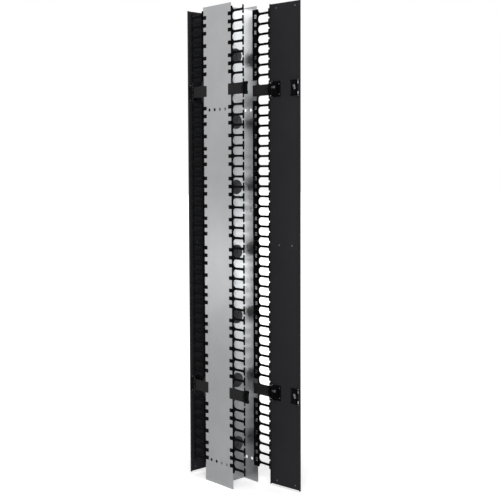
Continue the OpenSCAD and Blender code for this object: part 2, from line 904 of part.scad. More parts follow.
rear_door() knob(-1, lower_z);  // rear_lower_free_knob
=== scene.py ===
"""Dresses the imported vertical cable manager: fingers, spools, latches and doors on its frame."""

import math

import bmesh
import bpy
from bpy.props import FloatProperty, FloatVectorProperty, IntProperty, PointerProperty
from mathutils import Matrix, Vector


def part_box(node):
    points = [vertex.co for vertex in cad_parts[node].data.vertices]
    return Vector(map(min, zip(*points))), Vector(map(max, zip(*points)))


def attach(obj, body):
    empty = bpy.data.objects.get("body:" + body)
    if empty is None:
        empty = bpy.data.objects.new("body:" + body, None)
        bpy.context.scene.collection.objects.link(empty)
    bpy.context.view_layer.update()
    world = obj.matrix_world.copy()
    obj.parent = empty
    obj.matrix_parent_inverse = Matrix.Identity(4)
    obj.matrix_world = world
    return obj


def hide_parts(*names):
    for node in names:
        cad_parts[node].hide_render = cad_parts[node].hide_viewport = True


bl_info = {
    "name": "Vertical Cable Manager",
    "version": (1, 0, 0),
    "blender": (4, 5, 0),
    "location": "View3D > Sidebar > Cable Manager",
    "description": "Builds the looks of a two-sided vertical cable manager on its CAD frame",
    "category": "Add Mesh",
}

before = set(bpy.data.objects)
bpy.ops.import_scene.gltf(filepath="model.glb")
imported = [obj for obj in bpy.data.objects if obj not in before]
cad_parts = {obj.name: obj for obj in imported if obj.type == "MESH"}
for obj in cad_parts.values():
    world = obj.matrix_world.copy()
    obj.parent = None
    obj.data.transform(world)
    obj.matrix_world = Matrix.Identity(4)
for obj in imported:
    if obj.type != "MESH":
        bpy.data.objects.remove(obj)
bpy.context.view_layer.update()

MM = 0.001
ROOT = "spine"
CORNERS = {
    "front_left": (-1, -1),
    "front_right": (1, -1),
    "rear_left": (-1, 1),
    "rear_right": (1, 1),
}
FACES = {"front": -1, "rear": 1}
LEVELS = ("upper", "lower")
SIDES = ("hinge", "free")
LATCHES = [f"{face}_{level}_{side}" for face in FACES for level in LEVELS for side in SIDES]
SHARP = math.radians(35)  # edges that turn by more than this stay sharp, or are rounded
WELD = 0.01 * MM  # points of a CAD mesh that lie closer than this are one
FLAT = math.radians(0.5)  # faces of a CAD mesh that turn by less than this are one
BEVEL_STEPS = 2
TURNED_SIDES = 48  # sides of the spools
PEG_SIDES = 24
ROOT_STEPS, TIP_STEPS, END_STEPS, CORNER_STEPS = 10, 6, 8, 3  # straight parts in each round
RIB_RISE = 0.35  # middle of a rib above the dish's floor, as a part of the dish's depth

# Of each softened node: end of its name, end of its piece's name, slot, finish, rounding in mm
EDGE_PARTS = (
    ("hinge_blocks", "blocks", "block_plastic", "block", 0.5),
    ("receivers", "receiver_pair", "receiver_plastic", "latch", 0.4),
)
DOOR_PARTS = (
    ("latch_bases", "latch_bases_moulded", "latch_plastic", "latch", 0.4),
    ("latch_housings", "latch_housings_moulded", "latch_plastic", "latch", 0.8),
    ("plate", "plate_moulded", "latch_plastic", "latch", 0.4),
    ("hinge_pins", "pins_turned", "bright_steel", "steel", 0.3),
)
LATCH_PARTS = (
    ("knob", "knob_moulded", "latch_plastic", "latch", 0.8),
    ("pawl", "pawl_pressed", "bright_steel", "steel", 0.3),
)

# Sockets of a colour Mix and of a Map Range, which hold several sockets of one name
FACTOR, DARK, LIGHT = 0, 6, 7
VALUE, FROM_LOW, FROM_HIGH, LOW, HIGH = 0, 1, 2, 3, 4
GLOSS_SPREAD = 0.05  # a moulding's roughness varies by this to either side

# Of each lamp: name, place, aim and size in metres, and power in watts
LAMPS = (
    ("high", (-2.55, -2.96, 2.8), (0, 0, 1.6), (2.4, 0.9), 105),
    ("low", (-2.55, -2.96, 0.55), (0, 0, 0.9), (2.0, 0.5), 72),
    ("back", (-2.6, 3.0, 0.6), (0, 0, 1.0), (1.2, 0.6), 4),
)
DOME = 0.5  # grey of the dome as a light; it shows as white
FLOOR_SIZE = 40  # metres from the middle to a side
GLOW_NEAR, GLOW_FAR = (0.3, 0.4), (2.5, 1.0)  # distance from the middle in metres, and glow there
LENS, SENSOR, SHIFT_Y = 69.87, 36.0, -0.045  # the first two in millimetres
CAMERA_PLACE = (-2.837, -3.2889, 1.415)
YAW, PITCH, ROLL = -41.914, -3.421, -0.203  # degrees; a level camera has no pitch


# ---- Small helpers ----


def linear(hex_colour):
    """Turns an sRGB hex colour such as 'a0a2a4' into linear RGBA."""
    channels = [int(hex_colour[i : i + 2], 16) / 255 for i in (0, 2, 4)]
    return [c / 12.92 if c <= 0.04045 else ((c + 0.055) / 1.055) ** 2.4 for c in channels] + [1.0]


def feed(tree, made, inputs):
    """Gives each input of a node a value or another node's output."""
    for key, value in inputs.items():
        if isinstance(value, bpy.types.NodeSocket):
            tree.links.new(value, made.inputs[key])
        else:
            made.inputs[key].default_value = value


def node(tree, kind, settings=None, inputs=None):
    """Adds a node with its own properties and its inputs."""
    made = tree.nodes.new(kind)
    for key, value in (settings or {}).items():
        setattr(made, key, value)
    feed(tree, made, inputs or {})
    return made


def linked(name, data):
    """Puts a new object with this data into the scene."""
    made = bpy.data.objects.new(name, data)
    bpy.context.scene.collection.objects.link(made)
    return made


def new_object(name, bm):
    """Makes a mesh object from a bmesh, with smooth faces between sharp edges."""
    mesh = bpy.data.meshes.new(name)
    bm.to_mesh(mesh)
    bm.free()
    mesh.shade_smooth()
    mesh.set_sharp_from_angle(angle=SHARP)
    return linked(name, mesh)


def finish_piece(piece, body, slot, material, *nodes):
    """Gives a piece its material and body, and hides the CAD nodes that it stands for; the slot is
    not used.
    """
    piece.data.materials.clear()
    piece.data.materials.append(material)
    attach(piece, body)
    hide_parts(*nodes)


def dress(node_name, material):
    """Gives a CAD node a material in every slot."""
    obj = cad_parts[node_name]
    if not obj.material_slots:
        obj.data.materials.append(material)
    for entry in obj.material_slots:
        entry.material = material


def arc(centre, radius, start, end, steps):
    """Points on an arc, from start to end in degrees."""
    angles = [math.radians(start + (end - start) * i / steps) for i in range(steps + 1)]
    return [(centre[0] + radius * math.cos(a), centre[1] + radius * math.sin(a)) for a in angles]


def ring(centre, radius, steps):
    """Points all round a circle."""
    return arc(centre, radius, 0, 360 - 360 / steps, steps - 1)


def plate(outline, thickness, bevel):
    """A plate with rounded rims: its outline lies in Y and Z, its thickness along +X from 0."""
    bm = bmesh.new()
    face = bm.faces.new([bm.verts.new((0, y, z)) for y, z in outline])
    grown = bmesh.ops.extrude_face_region(bm, geom=[face])["geom"]
    top = [item for item in grown if isinstance(item, bmesh.types.BMVert)]
    bmesh.ops.translate(bm, verts=top, vec=(thickness, 0, 0))
    bmesh.ops.recalc_face_normals(bm, faces=bm.faces)
    rims = [e for e in bm.edges if abs(e.verts[0].co.x - e.verts[1].co.x) < thickness / 2]
    bmesh.ops.bevel(
        bm, geom=rims, offset=bevel, segments=BEVEL_STEPS, profile=0.5, affect="EDGES"
    )
    return bm


def lathe(profile, segments):
    """A solid turned about Y from a closed row of (radius, y) points."""
    bm = bmesh.new()
    angles = [2 * math.pi * i / segments for i in range(segments)]
    rings = [
        [bm.verts.new((r * math.cos(a), y, r * math.sin(a))) for a in angles] for r, y in profile
    ]
    for low, high in zip(rings, rings[1:]):
        for i in range(segments):
            k = (i + 1) % segments
            bm.faces.new([low[i], high[i], high[k], low[k]])
    bmesh.ops.recalc_face_normals(bm, faces=bm.faces)
    return bm


def softened(name, node_name, width):
    """A copy of a CAD node with its sharp edges rounded to a width in millimetres."""
    bm = bmesh.new()
    bm.from_mesh(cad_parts[node_name].data)
    bmesh.ops.remove_doubles(bm, verts=bm.verts, dist=WELD)
    bmesh.ops.dissolve_limit(bm, angle_limit=FLAT, verts=bm.verts, edges=bm.edges)
    sharp = [e for e in bm.edges if len(e.link_faces) == 2 and e.calc_face_angle(0) > SHARP]
    bmesh.ops.bevel(
        bm,
        geom=sharp,
        offset=width * MM,
        segments=BEVEL_STEPS,
        profile=0.5,
        affect="EDGES",
        clamp_overlap=True,
    )
    return new_object(name, bm)


def points_object(name, places):
    """An object whose vertices are places, each a position and a turn as Euler angles."""
    mesh = bpy.data.meshes.new(name)
    mesh.from_pydata([p for p, _ in places], [], [])
    turns = mesh.attributes.new("turn", "FLOAT_VECTOR", "POINT")
    for i, (_, turn) in enumerate(places):
        turns.data[i].vector = turn
    return linked(name, mesh)


def at_heights(heights, x=0):
    """Places at some heights, unturned."""
    return [((x, 0, z), (0, 0, 0)) for z in heights]


def repeat_tree():
    """Geometry Nodes: on each point, a row of Count copies of a unit, a Step apart."""
    tree = bpy.data.node_groups.new("Repeat on places", "GeometryNodeTree")
    face = tree.interface
    face.new_socket("Places", in_out="INPUT", socket_type="NodeSocketGeometry")
    face.new_socket("Unit", in_out="INPUT", socket_type="NodeSocketObject")
    face.new_socket("Count", in_out="INPUT", socket_type="NodeSocketInt").default_value = 1
    face.new_socket("Step", in_out="INPUT", socket_type="NodeSocketVector")
    face.new_socket("Material", in_out="INPUT", socket_type="NodeSocketMaterial")
    face.new_socket("Geometry", in_out="OUTPUT", socket_type="NodeSocketGeometry")
    group = node(tree, "NodeGroupInput")
    info = node(tree, "GeometryNodeObjectInfo", {}, {"Object": group.outputs["Unit"]})
    count = group.outputs["Count"]
    step = group.outputs["Step"]
    less = node(tree, "ShaderNodeMath", {"operation": "SUBTRACT"}, {0: count, 1: 1.0})
    half = node(tree, "ShaderNodeMath", {"operation": "MULTIPLY"}, {0: less.outputs[0], 1: -0.5})
    first = {"Vector": step, "Scale": half.outputs[0]}
    start = node(tree, "ShaderNodeVectorMath", {"operation": "SCALE"}, first)
    line = node(
        tree,
        "GeometryNodeMeshLine",
        {"mode": "OFFSET"},
        {"Count": count, "Start Location": start.outputs[0], "Offset": step},
    )
    row = node(
        tree,
        "GeometryNodeInstanceOnPoints",
        {},
        {"Points": line.outputs[0], "Instance": info.outputs["Geometry"]},
    )
    whole = node(tree, "GeometryNodeGeometryToInstance", {}, {0: row.outputs[0]})
    named = {"data_type": "FLOAT_VECTOR"}
    turn = node(tree, "GeometryNodeInputNamedAttribute", named, {"Name": "turn"})
    euler = node(tree, "FunctionNodeEulerToRotation", {}, {0: turn.outputs["Attribute"]})
    placed = node(
        tree,
        "GeometryNodeInstanceOnPoints",
        {},
        {
            "Points": group.outputs["Places"],
            "Instance": whole.outputs[0],
            "Rotation": euler.outputs[0],
        },
    )
    real = node(tree, "GeometryNodeRealizeInstances", {}, {"Geometry": placed.outputs[0]})
    coated = node(
        tree,
        "GeometryNodeSetMaterial",
        {},
        {"Geometry": real.outputs[0], "Material": group.outputs["Material"]},
    )
    node(tree, "NodeGroupOutput", {}, {"Geometry": coated.outputs[0]})
    return tree


def repeated(name, unit, places, material, count=1, step=(0, 0, 0)):
    """Bakes rows of a unit on places into one plain mesh object, and removes the unit."""
    tree = bpy.data.node_groups.get("Repeat on places") or repeat_tree()
    base = points_object(name, places)
    modifier = base.modifiers.new("Repeat", "NODES")
    modifier.node_group = tree
    values = {"Unit": unit, "Count": count, "Step": step, "Material": material}
    for item in tree.interface.items_tree:
        if item.name in values and item.in_out == "INPUT":
            modifier[item.identifier] = values[item.name]
    graph = bpy.context.evaluated_depsgraph_get()
    mesh = bpy.data.meshes.new_from_object(base.evaluated_get(graph))
    base.modifiers.clear()
    base.data = mesh
    bpy.data.objects.remove(unit)
    return base


def mirrored(piece, x_side, y_side):
    """Turns a piece that was built at +X and +Y to its own side."""
    piece.data.transform(Matrix.Diagonal((x_side, y_side, 1, 1)))
    if x_side * y_side < 0:
        piece.data.flip_normals()


def joined(name, objects):
    """Joins mesh objects into one new object, and removes them."""
    bm = bmesh.new()
    for obj in objects:
        bm.from_mesh(obj.data)
        bpy.data.objects.remove(obj)
    return new_object(name, bm)


# ---- Materials ----


def surface(name):
    """A new material with its shader and the object's own coordinates."""
    material = bpy.data.materials.new(name)
    material.use_nodes = True
    tree = material.node_tree
    place = node(tree, "ShaderNodeTexCoord")
    return material, tree, tree.nodes["Principled BSDF"], place.outputs["Object"]


def zinc_sheet():
    """Zinc-plated cold-rolled steel: a grey metal with a soft sheen and faint lines along it.

    The rolling lines are about 1 mm apart, coarser than real ones so that they show. The clouds
    of tone are about 110 mm across.
    """
    look = bpy.context.scene.manager_colours
    material, tree, shader, place = surface("zinc_plated_steel_sheet")
    along = node(tree, "ShaderNodeMapping", {}, {"Vector": place, "Scale": (1.0, 1.0, 0.02)})
    rolled = {"Vector": along.outputs[0], "Scale": 900.0, "Detail": 3.0}
    lines = node(tree, "ShaderNodeTexNoise", {}, rolled)
    cloud = node(tree, "ShaderNodeTexNoise", {}, {"Vector": place, "Scale": 9.0, "Detail": 4.0})
    tones = {FACTOR: cloud.outputs[0], DARK: [*look.zinc_dark, 1], LIGHT: [*look.zinc_light, 1]}
    tone = node(tree, "ShaderNodeMix", {"data_type": "RGBA"}, tones)
    span = {VALUE: lines.outputs[0], LOW: 0.27, HIGH: 0.37}
    gloss = node(tree, "ShaderNodeMapRange", {}, span)
    height = {"Strength": 0.08, "Distance": 0.1 * MM, "Height": lines.outputs[0]}
    bump = node(tree, "ShaderNodeBump", {}, height)
    finish = {"Base Color": tone.outputs[2], "Metallic": 1.0, "Roughness": gloss.outputs[0]}
    feed(tree, shader, {**finish, "Normal": bump.outputs[0]})
    return material


def moulded(name, dark, light, roughness, grain_mm, gleam):
    """Moulded nylon or ABS: near black and matt, with the fine grain of a spark-eroded mould.

    The grain is coarser than a real one so that it shows. The flow marks are about 40 mm across.
    """
    material, tree, shader, place = surface(name)
    fine = {"Vector": place, "Scale": 1000.0 / grain_mm, "Detail": 2.0}
    grain = node(tree, "ShaderNodeTexNoise", {}, fine)
    flow = node(tree, "ShaderNodeTexNoise", {}, {"Vector": place, "Scale": 25.0, "Detail": 3.0})
    tones = {FACTOR: flow.outputs[0], DARK: linear(dark), LIGHT: linear(light)}
    tone = node(tree, "ShaderNodeMix", {"data_type": "RGBA"}, tones)
    low, high = roughness - GLOSS_SPREAD, roughness + GLOSS_SPREAD
    span = {VALUE: flow.outputs[0], LOW: low, HIGH: high}
    gloss = node(tree, "ShaderNodeMapRange", {}, span)
    height = {"Strength": 0.25, "Distance": 0.1 * MM, "Height": grain.outputs[0]}
    bump = node(tree, "ShaderNodeBump", {}, height)
    finish = {"Base Color": tone.outputs[2], "Roughness": gloss.outputs[0]}
    feed(tree, shader, {**finish, "Specular IOR Level": gleam, "Normal": bump.outputs[0]})
    return material


def powder_coat():
    """Polyester powder coat on steel: soft black with the orange-peel texture of a baked powder.

    The peel is about 1.4 mm across, and the clouds of tone about 170 mm.
    """
    look = bpy.context.scene.manager_colours
    material, tree, shader, place = surface("black_powder_coat")
    peel = node(tree, "ShaderNodeTexNoise", {}, {"Vector": place, "Scale": 700.0, "Detail": 2.0})
    flow = node(tree, "ShaderNodeTexNoise", {}, {"Vector": place, "Scale": 6.0, "Detail": 3.0})
    tones = {FACTOR: flow.outputs[0], DARK: [*look.door_dark, 1], LIGHT: [*look.door_light, 1]}
    tone = node(tree, "ShaderNodeMix", {"data_type": "RGBA"}, tones)
    height = {"Strength": 0.3, "Distance": 0.2 * MM, "Height": peel.outputs[0]}
    bump = node(tree, "ShaderNodeBump", {}, height)
    finish = {"Base Color": tone.outputs[2], "Roughness": 0.5}
    feed(tree, shader, {**finish, "Specular IOR Level": 0.06, "Normal": bump.outputs[0]})
    return material


def bright_steel():
    """Bright zinc on turned steel: light metal with fine turning marks, about 0.7 mm apart."""
    material, tree, shader, place = surface("bright_zinc_steel")
    marks = node(tree, "ShaderNodeTexNoise", {}, {"Vector": place, "Scale": 1500.0, "Detail": 2.0})
    tones = {FACTOR: marks.outputs[0], DARK: linear("767678"), LIGHT: linear("8c8c8e")}
    tone = node(tree, "ShaderNodeMix", {"data_type": "RGBA"}, tones)
    span = {VALUE: marks.outputs[0], LOW: 0.38, HIGH: 0.5}
    gloss = node(tree, "ShaderNodeMapRange", {}, span)
    finish = {"Base Color": tone.outputs[2], "Metallic": 1.0, "Roughness": gloss.outputs[0]}
    feed(tree, shader, finish)
    return material


# Of each plastic: name, dark and light tone, roughness, grain in millimetres and specular level
PLASTICS = {
    "nylon": ("moulded_nylon_fingers", "060607", "0b0b0c", 0.6, 1.2, 0.02),  # dead black, dull
    "block": ("moulded_nylon_blocks", "1a1a1b", "202021", 0.55, 1.5, 0.05),  # a greyer black
    "latch": ("moulded_abs_latches", "040405", "09090a", 0.5, 1.2, 0.03),  # the darkest
    "spool": ("moulded_abs_spools", "343436", "404042", 0.42, 1.5, 0.25),  # charcoal, soft shine
}
METALS = {
    "zinc": ("zinc_plated_steel_sheet", zinc_sheet),
    "powder": ("black_powder_coat", powder_coat),
    "steel": ("bright_zinc_steel", bright_steel),
}


def material_named(key):
    """Returns a finish, making it the first time."""
    name = (PLASTICS.get(key) or METALS[key])[0]
    made = bpy.data.materials.get(name)
    if made:
        return made
    return moulded(*PLASTICS[key]) if key in PLASTICS else METALS[key][1]()


# ---- Settings ----


class ManagerColours(bpy.types.PropertyGroup):
    """Colours of the sheet metal, linear."""

    zinc_dark: FloatVectorProperty(
        name="Zinc, dark",
        description="Darker tone of the plated sheet",
        subtype="COLOR",
        default=linear("a6a7a8")[:3],
    )
    zinc_light: FloatVectorProperty(
        name="Zinc, light",
        description="Lighter tone of the plated sheet",
        subtype="COLOR",
        default=linear("b6b7b8")[:3],
    )
    door_dark: FloatVectorProperty(
        name="Door, dark",
        description="Darker tone of the powder coat",
        subtype="COLOR",
        default=linear("1c1c1e")[:3],
    )
    door_light: FloatVectorProperty(
        name="Door, light",
        description="Lighter tone of the powder coat",
        subtype="COLOR",
        default=linear("232325")[:3],
    )


class FingerSizes(bpy.types.PropertyGroup):
    """Sizes of the comb columns."""

    rack_unit: FloatProperty(
        name="Rack unit", description="Pitch of the fingers", unit="LENGTH", default=44.45 * MM
    )
    per_module: IntProperty(
        name="Fingers per module", description="Fingers on one moulding", default=7
    )
    middle_modules: IntProperty(
        name="Middle modules", description="Modules between the hinge blocks", default=4
    )
    strip: FloatProperty(
        name="Strip", description="Width of the strip at the wall", unit="LENGTH", default=8 * MM
    )
    strip_corner: FloatProperty(
        name="Strip corner",
        description="Corner radius of the strip",
        unit="LENGTH",
        default=1.5 * MM,
    )
    bar: FloatProperty(name="Bar", description="Height of a finger", unit="LENGTH", default=10 * MM)
    reach: FloatProperty(
        name="Reach", description="Wall's edge to the tips", unit="LENGTH", default=81.5 * MM
    )
    tip: FloatProperty(
        name="Tip", description="Thickness of the tip bars", unit="LENGTH", default=6.5 * MM
    )
    slot: FloatProperty(
        name="Slot", description="Gap between two tip bars", unit="LENGTH", default=7.5 * MM
    )
    root_radius: FloatProperty(
        name="Root radius", description="Fillet at the strip", unit="LENGTH", default=16 * MM
    )
    tip_radius: FloatProperty(
        name="Tip radius", description="Fillet at the tip bar", unit="LENGTH", default=4.5 * MM
    )
    tab_length: FloatProperty(
        name="Tab", description="Length of a tab", unit="LENGTH", default=19.5 * MM
    )
    tab_height: FloatProperty(
        name="Tab height", description="Height of a tab", unit="LENGTH", default=16.5 * MM
    )
    tab_thick: FloatProperty(
        name="Tab thickness", description="Thickness of a tab", unit="LENGTH", default=2 * MM
    )
    tab_corner: FloatProperty(
        name="Tab corner", description="Corner radius of a tab", unit="LENGTH", default=2 * MM
    )
    tab_first: FloatProperty(
        name="First tab", description="Middle tab to the next", unit="LENGTH", default=54.9 * MM
    )
    tab_pitch: FloatProperty(
        name="Tab pitch", description="Pitch of the outer tabs", unit="LENGTH", default=34.6 * MM
    )
    tab_pairs: IntProperty(
        name="Tab pairs", description="Tabs above and below the middle one", default=3
    )
    band_thick: FloatProperty(
        name="Band", description="Thickness of the inner band", unit="LENGTH", default=1 * MM
    )
    band_length: FloatProperty(
        name="Band length", description="Band along the wall", unit="LENGTH", default=26.5 * MM
    )
    window: FloatProperty(
        name="Window", description="Length of the band's windows", unit="LENGTH", default=14 * MM
    )
    window_rim: FloatProperty(
        name="Window rim", description="Window to the edge", unit="LENGTH", default=0.8 * MM
    )
    peg_radius: FloatProperty(
        name="Peg", description="Radius of the pegs", unit="LENGTH", default=3 * MM
    )
    peg_edge: FloatProperty(
        name="Peg edge", description="Rounding of the pegs' ends", unit="LENGTH", default=0.3 * MM
    )
    edge: FloatProperty(
        name="Edge", description="Rounding of the moulded edges", unit="LENGTH", default=0.5 * MM
    )


class SpoolSizes(bpy.types.PropertyGroup):
    """Sizes of the spools."""

    cap: FloatProperty(
        name="Cap", description="Thickness of the cap", unit="LENGTH", default=6 * MM
    )
    rim: FloatProperty(
        name="Rim", description="Width of the raised rim", unit="LENGTH", default=4 * MM
    )
    dish: FloatProperty(
        name="Dish", description="Depth of the dished face", unit="LENGTH", default=3 * MM
    )
    hub: FloatProperty(name="Hub", description="Radius of the hub", unit="LENGTH", default=11 * MM)
    barrel: FloatProperty(
        name="Barrel", description="Radius of the barrel", unit="LENGTH", default=17 * MM
    )
    foot: FloatProperty(
        name="Foot", description="Reach of the foot past the barrel", unit="LENGTH", default=6 * MM
    )
    foot_thick: FloatProperty(
        name="Foot thickness", description="Thickness of the foot", unit="LENGTH", default=3 * MM
    )
    pocket: FloatProperty(
        name="Pocket", description="Radius of the screw pocket", unit="LENGTH", default=7 * MM
    )
    pocket_depth: FloatProperty(
        name="Pocket depth", description="Face to the screw's seat", unit="LENGTH", default=12 * MM
    )
    edge: FloatProperty(
        name="Edge", description="Rounding of the spool's edges", unit="LENGTH", default=1 * MM
    )
    count: IntProperty(name="Spools", description="Spools in a trough", default=7)
    ribs: IntProperty(name="Ribs", description="Ribs on a face", default=6)
    rib: FloatProperty(
        name="Rib", description="Thickness of a rib", unit="LENGTH", default=2.4 * MM
    )
    rib_edge: FloatProperty(
        name="Rib edge", description="Rounding of the ribs", unit="LENGTH", default=0.5 * MM
    )


# ---- Pieces ----


class MANAGER_OT_sheets(bpy.types.Operator):
    """Finishes the spine's sheets and the door pans"""

    bl_idname = "manager.sheets"
    bl_label = "Sheets and Doors"

    def execute(self, context):
        for name in ("spine_left_wall", "spine_right_wall", "spine_web"):
            dress(name, material_named("zinc"))
        for face in FACES:
            dress(f"{face}_door_panel", material_named("powder"))
        return {"FINISHED"}


class MANAGER_OT_fingers(bpy.types.Operator):
    """Builds the comb columns on the four edges"""

    bl_idname = "manager.fingers"
    bl_label = "Finger Columns"

    def outline(self, s):
        """Half of a finger's outline above its middle, then its mirror below."""
        half, tip_half = s.bar / 2, (s.rack_unit - s.slot) / 2
        neck, end = s.reach - s.tip, s.tip / 2
        root = (s.strip + s.root_radius, half + s.root_radius)
        tip = (neck - s.tip_radius, half + s.tip_radius)
        upper = [(s.strip / 2, half + s.root_radius)]
        upper += arc(root, s.root_radius, 180, 270, ROOT_STEPS)
        upper += arc(tip, s.tip_radius, 270, 360, TIP_STEPS)
        upper += arc((s.reach - end, tip_half - end), end, 180, 0, END_STEPS)
        return upper + [(y, -z) for y, z in reversed(upper)]

    def rounded(self, y0, y1, height, radius):
        """Outline of a rectangle about z = 0 with round corners."""
        left, right, top = y0 + radius, y1 - radius, height / 2 - radius
        corners = ((right, top), (left, top), (left, -top), (right, -top))
        rounds = [
            arc(corner, radius, turn, turn + 90, CORNER_STEPS)
            for corner, turn in zip(corners, (0, 90, 180, 270))
        ]
        return sum(rounds, [])

    def band(self, s, length, tab_zs):
        """The band on the wall's inner face, as bars around its windows; it starts at x = 0."""
        end, half, cuts = length / 2, s.tab_height / 2, sorted(tab_zs)
        spans = [(-end, cuts[0] - half)]
        spans += [(a + half, b - half) for a, b in zip(cuts, cuts[1:])]
        spans += [(cuts[-1] + half, end)]
        shut = -s.window_rim - s.window
        bars = [(-s.band_length, shut, -end, end), (-s.window_rim, s.strip / 2, -end, end)]
        bars += [(shut, -s.window_rim, low, high) for low, high in spans]
        bm = bmesh.new()
        for y0, y1, z0, z1 in bars:
            for vert in bmesh.ops.create_cube(bm, size=1.0)["verts"]:
                x, y, z = (c + 0.5 for c in vert.co)
                vert.co = (x * s.band_thick, y0 + y * (y1 - y0), z0 + z * (z1 - z0))
        return bm

    def module_heights(self, s, top, middle, bottom):
        """Heights of the modules' middles, from the boxes of the three groups."""
        ends = [(low.z + high.z) / 2 for low, high in (top, bottom)]
        centre, span = (middle[0].z + middle[1].z) / 2, s.middle_modules - 1
        pitch = s.per_module * s.rack_unit
        return ends + [centre + (i - span / 2) * pitch for i in range(s.middle_modules)]

    def execute(self, context):
        s = context.scene.manager_fingers
        nylon = material_named("nylon")
        steps = [s.tab_first + i * s.tab_pitch for i in range(s.tab_pairs)]
        tab_zs = [0] + [side * step for step in steps for side in (1, -1)]
        peg_zs = (-steps[-1], 0, steps[-1])
        for corner, (x_side, y_side) in CORNERS.items():
            nodes = [f"{corner}_fingers_{part}" for part in ("top", "middle", "bottom")]
            boxes = [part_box(n) for n in nodes]
            low, high = boxes[0]
            outer, inner = max(abs(low.x), abs(high.x)), min(abs(low.x), abs(high.x))
            edge = max(abs(low.y), abs(high.y)) - s.reach
            wide, length = outer - inner, high.z - low.z
            peg_length = wide - s.tab_thick / 2 - s.band_thick / 2
            outlines = {
                "finger": (self.outline(s), wide, s.edge),
                "strip": (self.rounded(0, s.strip, length, s.strip_corner), wide, s.edge),
                "tab": (
                    self.rounded(-s.tab_length, s.strip / 2, s.tab_height, s.tab_corner),
                    s.tab_thick,
                    s.edge,
                ),
                "peg": (
                    ring((-s.tab_length / 2, 0), s.peg_radius, PEG_SIDES),
                    peg_length,
                    s.peg_edge,
                ),
            }
            units = {name: new_object(name, plate(*shape)) for name, shape in outlines.items()}
            band = new_object("band", self.band(s, length, tab_zs))
            heights = self.module_heights(s, *boxes)
            modules = at_heights(heights)
            tabs = at_heights([z + dz for z in heights for dz in tab_zs], wide - s.tab_thick)
            pegs = at_heights([z + dz for z in heights for dz in peg_zs], s.band_thick / 2)
            pitch = (0, 0, s.rack_unit)
            parts = [
                repeated("fingers", units["finger"], modules, nylon, s.per_module, pitch),
                repeated("strips", units["strip"], modules, nylon),
                repeated("tabs", units["tab"], tabs, nylon),
                repeated("bands", band, modules, nylon),
                repeated("pegs", units["peg"], pegs, nylon),
            ]
            column = joined(f"{corner}_finger_column", parts)
            column.data.transform(Matrix.Translation((inner, edge, 0)))
            mirrored(column, x_side, y_side)
            finish_piece(column, ROOT, "finger_plastic", nylon, *nodes)
        return {"FINISHED"}


class MANAGER_OT_mouldings(bpy.types.Operator):
    """Rounds the edges of the hinge blocks, receivers and latch mouldings"""

    bl_idname = "manager.mouldings"
    bl_label = "Blocks and Latches"

    def execute(self, context):
        groups = [(corner, ROOT, EDGE_PARTS) for corner in CORNERS]
        groups += [(f"{face}_door", f"{face}_door", DOOR_PARTS) for face in FACES]
        groups += [(latch, f"{latch}_latch", LATCH_PARTS) for latch in LATCHES]
        for start, body, parts in groups:
            for node_end, piece_end, slot, finish, width in parts:
                piece = softened(f"{start}_{piece_end}", f"{start}_{node_end}", width)
                finish_piece(piece, body, slot, material_named(finish), f"{start}_{node_end}")
        return {"FINISHED"}


class MANAGER_OT_spools(bpy.types.Operator):
    """Turns the spools with dished and ribbed faces"""

    bl_idname = "manager.spools"
    bl_label = "Spools"

    def profile(self, s, cap, front, back):
        """The closed section, as (radius, y): pocket, hub, dish, rim, cap, barrel and foot."""
        soft, bore, brim = s.edge, s.pocket - s.edge, s.barrel + s.foot
        seat, floor, under = front - s.pocket_depth, front - s.dish, front - s.cap
        points = [(bore, seat), (s.pocket, seat), (s.pocket, front - soft)]
        points += [(s.pocket + soft, front), (s.hub - soft, front), (s.hub, front - soft)]
        points += [(s.hub + soft / 2, floor), (cap - s.rim - soft, floor)]
        points += [(cap - s.rim, front - soft), (cap - s.rim + soft, front)]
        points += [(cap - soft, front), (cap, front - soft), (cap, under + soft)]
        points += [(cap - soft, under), (s.barrel + 2 * soft, under)]
        points += [(s.barrel, under - 2 * soft), (s.barrel, back + s.foot_thick)]
        points += [(brim, back + s.foot_thick), (brim, back), (bore, back)]
        return points + points[:1]

    def rib(self, s, cap, front):
        """One rib on the dish's floor, from the hub to the rim along +X."""
        long = cap - s.rim - s.hub + s.edge
        middle = (s.hub + long / 2 - s.edge / 2, front - s.dish + RIB_RISE * s.dish, 0)
        bm = bmesh.new()
        bmesh.ops.create_cube(bm, size=1.0)
        bm.transform(Matrix.Diagonal((long, s.dish, s.rib, 1)))
        bmesh.ops.translate(bm, verts=bm.verts, vec=middle)
        bmesh.ops.bevel(
            bm, geom=bm.edges[:], offset=s.rib_edge, segments=BEVEL_STEPS, affect="EDGES"
        )
        return bm

    def execute(self, context):
        s = context.scene.manager_spools
        plastic = material_named("spool")
        turns = [((0, 0, 0), (0, 2 * math.pi * i / s.ribs, 0)) for i in range(s.ribs)]
        for face, y_side in FACES.items():
            low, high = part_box(f"{face}_spools")
            cap = (high.x - low.x) / 2
            front, back = max(abs(low.y), abs(high.y)), min(abs(low.y), abs(high.y))
            first, last = low.z + cap, high.z - cap
            body = new_object("spool", lathe(self.profile(s, cap, front, back), TURNED_SIDES))
            rib = new_object("rib", self.rib(s, cap, front))
            unit = joined("spool_unit", [body, repeated("ribs", rib, turns, plastic)])
            middle = at_heights([(first + last) / 2])
            step = (0, 0, (last - first) / (s.count - 1))
            row = repeated(f"{face}_spool_row", unit, middle, plastic, s.count, step)
            mirrored(row, 1, y_side)
            finish_piece(row, ROOT, "spool_plastic", plastic, f"{face}_spools")
        return {"FINISHED"}


